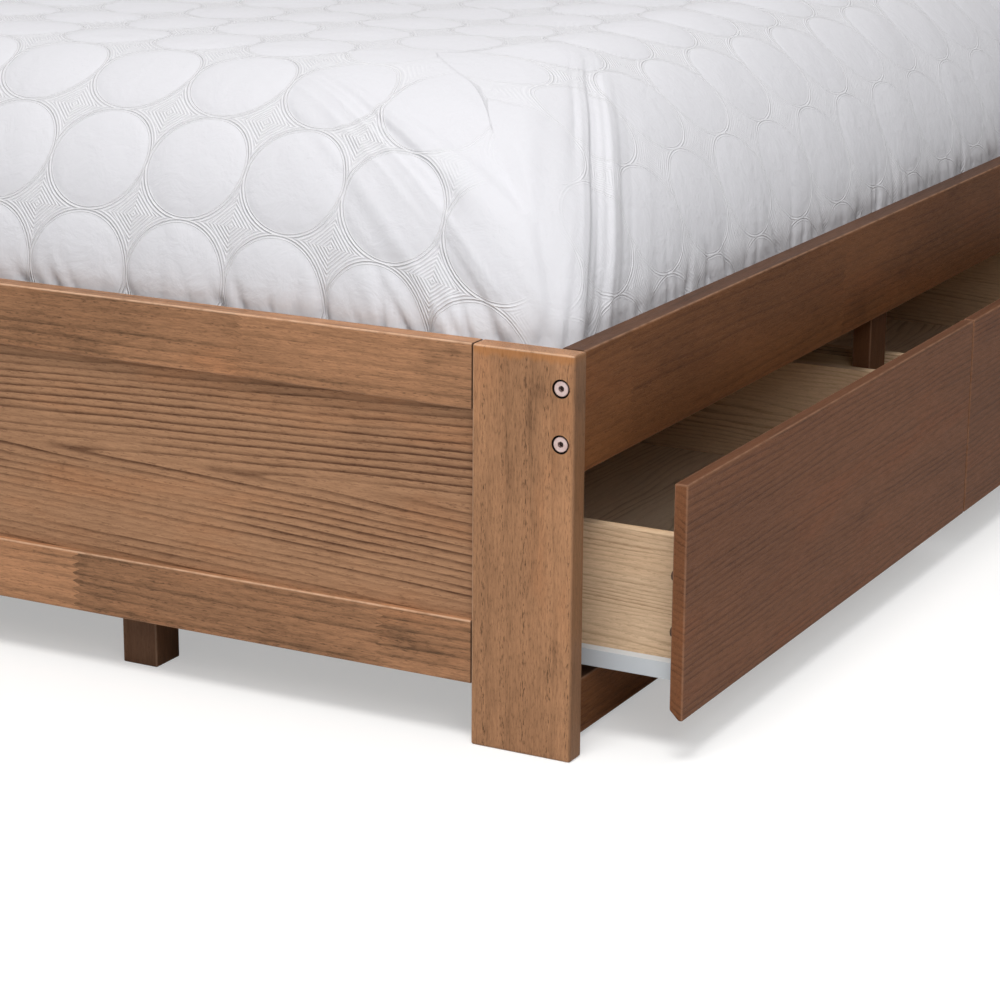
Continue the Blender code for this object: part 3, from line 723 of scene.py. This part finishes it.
def make_cover():
    """Positions of the cover's grid, and its quilting coordinates and strength."""
    cover = Cover()
    x, y, z, nx, ny = cover.surface()
    run = cover.run[:, None] * np.ones_like(x)
    edge_run = cover.run[cover.edge_row]

    # Cloth coordinates: the top's own x and y, carried down each side by the distance run.
    past_edge = np.maximum(edge_run - run, 0.0)
    edge_x, edge_y = cover.half_x - EDGE_REACH, cover.half_y - EDGE_REACH
    on_side = past_edge > 0.0
    foot_v = np.where(on_side, np.sign(ny) * (edge_y + past_edge), y)
    flank_u = np.where(on_side, np.sign(nx) * (edge_x + past_edge), x)
    side_rows = cover.edge_row
    first_run = np.interp(FIRST_CIRCLE[1], [row[1] for row in cover.rows[:side_rows]],
                          cover.run[:side_rows])
    u_start, v_start = FIRST_CIRCLE[0], -(edge_y + edge_run - first_run)
    foot_facing = smoothstep(np.abs(ny) - np.abs(nx), -0.35, 0.35)
    foot_side = foot_facing > 0.5
    sag = SAG * np.clip(x - SAG_START, 0.0, None) ** 2
    sag *= 1.0 - smoothstep(y + cover.half_y, 0.22, 0.50)
    flank_sag = np.where(on_side, 0.0, sag)
    foot = quilt_height(x - u_start, foot_v - v_start + sag)
    flank = quilt_height(flank_u - u_start, y - v_start + flank_sag)
    quilt_u = np.where(foot_side, x, flank_u) - u_start
    quilt_v = np.where(foot_side, foot_v + sag, y + flank_sag) - v_start

    # The quilting fades where the cover is pulled round a corner.
    bend = np.exp(-((np.abs(nx) - np.abs(ny)) / 0.75) ** 2) * (np.abs(nx) > 1e-6)
    bend *= np.abs(ny) > 1e-6
    from_corner = np.maximum(cover.half_x - np.abs(x), cover.half_y - np.abs(y))
    bend *= 1.0 - smoothstep(from_corner, 0.20, 0.36)
    side_share = smoothstep(past_edge, 0.02, 0.16)
    place = cover.place[None, :] * np.ones_like(x)
    corners = [float(cover.place[cover.segment == index].mean()) for index in (1, 3, 5, 7)]
    nearest = np.min([np.abs(place - corner) for corner in corners], axis=0)
    strength = 1.0 - side_share * (1.0 - smoothstep(nearest, 0.008, 0.050))
    strength = np.minimum(strength, 1.0 - 0.9 * bend * (1.0 - side_share))
    strength = strength * (1.0 - 0.70 * side_share * (1.0 - foot_facing))
    height = (foot * foot_facing + flank * (1.0 - foot_facing)) * strength

    # Creases, puckers at the seams and folds near the rail, and a slow waviness all over.
    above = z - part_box("side_rail_right")[1].z
    near_tuck = np.exp(-np.clip(above, 0.0, None) / 0.008)
    seam = np.abs(quilt_u / QUILT_PITCH - np.floor(quilt_u / QUILT_PITCH) - 0.5) * QUILT_PITCH
    pucker = np.where(foot_side, np.exp(-(seam / 0.0035) ** 2), 0.0)
    pucker *= np.exp(-np.clip(above, 0.0, None) / 0.020)
    softness = wave_noise(x * 10.0 + z * 4.0, y * 10.0 - z * 7.0, 11, 3)
    wrinkles = wave_noise(x * 48.0 + z * 20.0, y * 48.0 - z * 35.0, 12, 3)
    height += (side_share * (tuck_creases(place, above)
                             + FOLD_HEIGHT * corner_folds(place, above, corners)
                             - PUCKER_DEPTH * pucker - TUCK_DEPTH * near_tuck)
               + SOFTNESS * softness + WRINKLES * wrinkles)
    height = np.where(z < cover.base + REST_HEIGHT, np.minimum(height, 0.0), height)

    normal = vertex_normals(x, y, z)
    place_x, place_y, place_z = (c + normal[..., i] * height for i, c in enumerate((x, y, z)))
    return (place_x + cover.centre.x, place_y + cover.centre.y, place_z, quilt_u, quilt_v,
            strength)


def grid_mesh(name, x, y, z, quilt_u, quilt_v, strength):
    """Closed mesh from the wrapped grid: the last ring is bridged across the middle."""
    rows, columns = x.shape
    points = np.stack([x, y, z], -1).reshape(-1, 3)
    quads = []
    column = np.arange(columns)
    following = (column + 1) % columns
    for row in range(rows - 1):
        first, second = row * columns, (row + 1) * columns
        quads.append(np.stack([first + column, first + following, second + following,
                               second + column], -1))
    mirrored = columns - 1 - np.arange(columns // 2)
    index = np.arange(columns // 2 - 1)
    last = (rows - 1) * columns
    quads.append(np.stack([last + index, last + index + 1, last + mirrored[index + 1],
                           last + mirrored[index]], -1))
    quads.append(np.stack([mirrored[index], mirrored[index + 1], index + 1, index], -1))
    faces = np.concatenate(quads).tolist()
    mesh = bpy.data.meshes.new(name)
    mesh.from_pydata(points.tolist(), [], faces)
    attribute = mesh.attributes.new("quilting", "FLOAT_VECTOR", "POINT")
    values = np.stack([quilt_u, quilt_v, strength], -1).reshape(-1)
    attribute.data.foreach_set("vector", values.astype(np.float32))
    mesh.validate()
    mesh.shade_smooth()
    return add_object(name, mesh)


DIAMOND_PITCH, ARC_PITCH = 0.038, 0.028    # of the stitched lines, in quilt pitches
DOUBLE_LINE = 0.013                        # half the gap between the two lines round a disc


def quilt_fabric():
    """White cotton: stitched diamonds in the stars, a double line round each disc, fine weave."""
    paint = Paint("quilted_cotton", 0.88)
    reader = paint.tree.nodes.new("ShaderNodeAttribute")
    reader.attribute_name = "quilting"
    u, v, strength = paint.split(reader.outputs["Vector"])
    from_disc_u = paint.math("PINGPONG", paint.math("DIVIDE", u, QUILT_PITCH), 0.5)
    from_disc_v = paint.math("PINGPONG", paint.math("DIVIDE", v, QUILT_PITCH), 0.5)
    radius = paint.math("SQRT", paint.math("ADD",
                                           paint.math("MULTIPLY", from_disc_u, from_disc_u),
                                           paint.math("MULTIPLY", from_disc_v, from_disc_v)))
    from_star = paint.math("SUBTRACT", 1.0, paint.math("ADD", from_disc_u, from_disc_v))
    outwards = paint.math("SUBTRACT", radius, CIRCLE_RADIUS)
    outside = paint.math("MULTIPLY", paint.remap(outwards, 0.0, 0.012), strength)
    diamonds = paint.math("PINGPONG", paint.math("DIVIDE", from_star, DIAMOND_PITCH), 0.5)
    arcs = paint.math("PINGPONG", paint.math("DIVIDE", outwards, ARC_PITCH), 0.5)
    near_disc = paint.remap(outwards, 0.062, 0.072, 1.0, 0.0)
    lines = paint.math("ADD", paint.math("MULTIPLY", arcs, near_disc),
                       paint.math("MULTIPLY", diamonds, paint.math("SUBTRACT", 1.0, near_disc)))
    stitches = paint.math("MULTIPLY", lines, outside)
    double_line = paint.remap(paint.math("PINGPONG", outwards, DOUBLE_LINE), 0.004, 0.011)
    band = paint.remap(paint.math("ABSOLUTE", paint.math("SUBTRACT", outwards, 0.006)),
                       0.018, 0.022, 1.0, 0.0)
    ring = paint.math("MULTIPLY", paint.math("MULTIPLY", double_line, band), strength)

    point = paint.object_coordinates()
    crumple = paint.noise(point, 38.0, 4.0, 0.62, 0.4)
    weave = paint.noise(point, 900.0, 2.0, 0.6)
    height = paint.math("MULTIPLY_ADD", stitches, 1.5, paint.math("MULTIPLY", ring, 1.1))
    height = paint.math("MULTIPLY_ADD", crumple, 1.5, height)
    normal = paint.bump(height, 0.60, 0.0017)
    normal = paint.bump(weave, 0.10, 0.0003, normal)
    # Painted highlight: the raised stitched lines and the double line round each disc are painted
    # lighter.
    highlit_lines_and_ring = paint.math("MAXIMUM", stitches, ring)
    colour = paint.mix(paint.math("MULTIPLY", highlit_lines_and_ring, 1.6, clamp=True),
                       (0.655, 0.655, 0.690), (0.790, 0.790, 0.815))
    # Painted shade in the dips between the stitched lines.
    valley_shade = paint.math("MULTIPLY", paint.math("SUBTRACT", 0.5, lines), 0.35, clamp=True)
    colour = paint.mix(paint.math("MULTIPLY", valley_shade, outside), colour, (0.500, 0.500, 0.535))
    paint.shader.inputs["Sheen Weight"].default_value = 0.12
    paint.shader.inputs["Specular IOR Level"].default_value = 0.2
    return paint.finish(colour, normal)


def add_mattress():
    """The quilted cover, which stands for the plain mattress solid."""
    cover = grid_mesh("quilted_cover", *make_cover())
    cover.data.materials.append(quilt_fabric())
    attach(cover, "mattress")
    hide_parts("mattress")


# ---- hardware ----------------------------------------------------------------------------
def turned(name, profile, origin, axis, sides=32):
    """Solid of revolution from (radius, height) points; heights run along axis from origin."""
    bm = bmesh.new()
    rings = []
    for radius, height in profile:
        if radius == 0.0:
            rings.append([bm.verts.new((0.0, 0.0, height))])
            continue
        angles = [2 * math.pi * index / sides for index in range(sides)]
        rings.append([bm.verts.new((radius * math.cos(angle), radius * math.sin(angle), height))
                      for angle in angles])
    for lower, upper in zip(rings, rings[1:]):
        for index in range(sides):
            following = (index + 1) % sides
            corners = [lower[index % len(lower)], lower[following % len(lower)],
                       upper[following % len(upper)], upper[index % len(upper)]]
            corners = list(dict.fromkeys(corners))
            if len(corners) > 2:
                bm.faces.new(corners)
    bmesh.ops.recalc_face_normals(bm, faces=bm.faces)
    turn = Vector((0.0, 0.0, 1.0)).rotation_difference(Vector(axis)).to_matrix().to_4x4()
    bmesh.ops.transform(bm, matrix=Matrix.Translation(origin) @ turn, verts=bm.verts)
    mesh = bpy.data.meshes.new(name)
    bm.to_mesh(mesh)
    bm.free()
    mesh.shade_smooth()
    mesh.set_sharp_from_angle(angle=math.radians(40.0))
    return add_object(name, mesh)


def add_piece(piece, material, body):
    """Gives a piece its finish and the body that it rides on."""
    piece.data.materials.append(material)
    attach(piece, body)


def plastic(name, colour, roughness):
    """Moulded plastic with a fine grain."""
    paint = Paint(name, roughness)
    point = paint.object_coordinates()
    shade = paint.remap(paint.noise(point, 180.0, 3.0), 0.3, 0.7)
    darker = tuple(0.82 * channel for channel in colour)
    return paint.finish(paint.mix(shade, colour, darker),
                        paint.bump(paint.noise(point, 1400.0, 2.0), 0.15, 0.0002))


BUMPER_RADIUS, BUMPER_HEIGHT = 0.0042, 0.0027
BUMPER_FROM_END = 0.0055
BUMPER_Z = {"low": 0.109, "high": 0.155}
ROLLER_RADIUS, ROLLER_WIDTH, ROLLER_BEVEL = 0.0078, 0.0062, 0.0008
HUB_RADIUS, HUB_FLARE = 0.0030, 0.0004
ROLLER_FROM_SIDE = 0.0018     # gap to the drawer's side
ROLLER_FROM_END = 0.010       # from its axis to the end of its slide
SLIDE_WALL = 0.0014           # a flange of the slide, and the gap to it
HEAD_RADIUS, HEAD_HEIGHT, HEX_RADIUS, HEX_DEPTH = 0.0060, 0.0026, 0.0025, 0.0018
SOCKET_LIP = 0.0006


def add_bumpers():
    """Two soft stops at each end of every drawer front's back face."""
    rubber = plastic("brown_rubber", (0.085, 0.042, 0.024), 0.55)
    steps = [math.radians(angle) for angle in range(0, 91, 15)]
    profile = [(0.0, 0.0), (BUMPER_RADIUS, 0.0)]
    profile += [(BUMPER_RADIUS * math.cos(angle), BUMPER_HEIGHT * (0.35 + 0.65 * math.sin(angle)))
                for angle in steps[:-1]]
    profile += [(0.0, BUMPER_HEIGHT)]
    for number in (1, 2, 3):
        low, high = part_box(f"drawer_{number}_front")
        for end, y in (("foot", low.y + BUMPER_FROM_END), ("head", high.y - BUMPER_FROM_END)):
            for place, z in BUMPER_Z.items():
                bumper = turned(f"drawer_{number}_bumper_{end}_{place}", profile,
                                (low.x, y, z), (-1.0, 0.0, 0.0), 24)
                add_piece(bumper, rubber, f"drawer_{number}")


def add_rollers():
    """Nylon roller at the front of each fixed slide and at the back of each moving slide."""
    nylon = plastic("white_nylon", (0.72, 0.73, 0.74), 0.42)
    half, edge = ROLLER_WIDTH / 2, ROLLER_BEVEL
    upper = [(ROLLER_RADIUS, half - 2 * edge), (ROLLER_RADIUS - edge, half - edge),
             (HUB_RADIUS + HUB_FLARE, half - edge), (HUB_RADIUS, half), (0.0, half)]
    profile = [(radius, -height) for radius, height in reversed(upper)] + upper
    for number in (1, 2, 3):
        for end, outward in (("foot", -1.0), ("head", 1.0)):
            side_low, side_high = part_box(f"drawer_{number}_side_{end}")
            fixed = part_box(f"fixed_slide_{number}_{end}")
            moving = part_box(f"drawer_{number}_slide_{end}")
            side_y = side_low.y if outward < 0.0 else side_high.y
            middle = side_y + outward * (ROLLER_FROM_SIDE + half)
            reach = SLIDE_WALL + ROLLER_RADIUS
            for kind, x, z, body in (
                    ("fixed", fixed[1].x - ROLLER_FROM_END, moving[1].z - reach, "frame"),
                    ("moving", moving[0].x + ROLLER_FROM_END, fixed[0].z + reach,
                     f"drawer_{number}")):
                roller = turned(f"slide_roller_{number}_{end}_{kind}", profile,
                                (x, middle, z), (0.0, 1.0, 0.0))
                add_piece(roller, nylon, body)


def add_side_bolts():
    """Button-head bolts through the other three posts, like the two in the right foot post."""
    steps = [math.radians(angle) for angle in range(0, 76, 15)]
    profile = [(HEAD_RADIUS, 0.0)]
    flat = HEX_RADIUS + SOCKET_LIP
    profile += [(flat + (HEAD_RADIUS - flat) * math.cos(angle),
                 HEAD_HEIGHT * (0.25 + 0.75 * math.sin(angle))) for angle in steps]
    profile += [(HEX_RADIUS, HEAD_HEIGHT), (HEX_RADIUS, HEAD_HEIGHT - HEX_DEPTH),
                (0.0, HEAD_HEIGHT - HEX_DEPTH)]
    bolt_low, bolt_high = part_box("rail_bolt_upper")
    from_side = POST_HIGH.x - (bolt_low.x + bolt_high.x) / 2
    for place in ("upper", "lower"):
        z = sum(corner.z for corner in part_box(f"rail_bolt_{place}")) / 2
        for end, side in (("foot", "left"), ("head", "right"), ("head", "left")):
            low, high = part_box(f"{end}_post_{side}")
            x = high.x - from_side if side == "right" else low.x + from_side
            y, facing = (low.y, -1.0) if end == "foot" else (high.y, 1.0)
            bolt = turned(f"{end}_{side}_bolt_{place}", profile, (x, y, z), (0.0, facing, 0.0))
            reach = Vector((HEAD_RADIUS, HEAD_HEIGHT, HEAD_RADIUS))
            centre = Vector((x, y, z))
            copper = copper_zinc(bolt.name, centre - reach, centre + reach)
            add_piece(bolt, copper, "frame")


make_camera()
make_studio()
paint_wood()
paint_metal()
add_bumpers()
add_rollers()
add_side_bolts()
add_mattress()
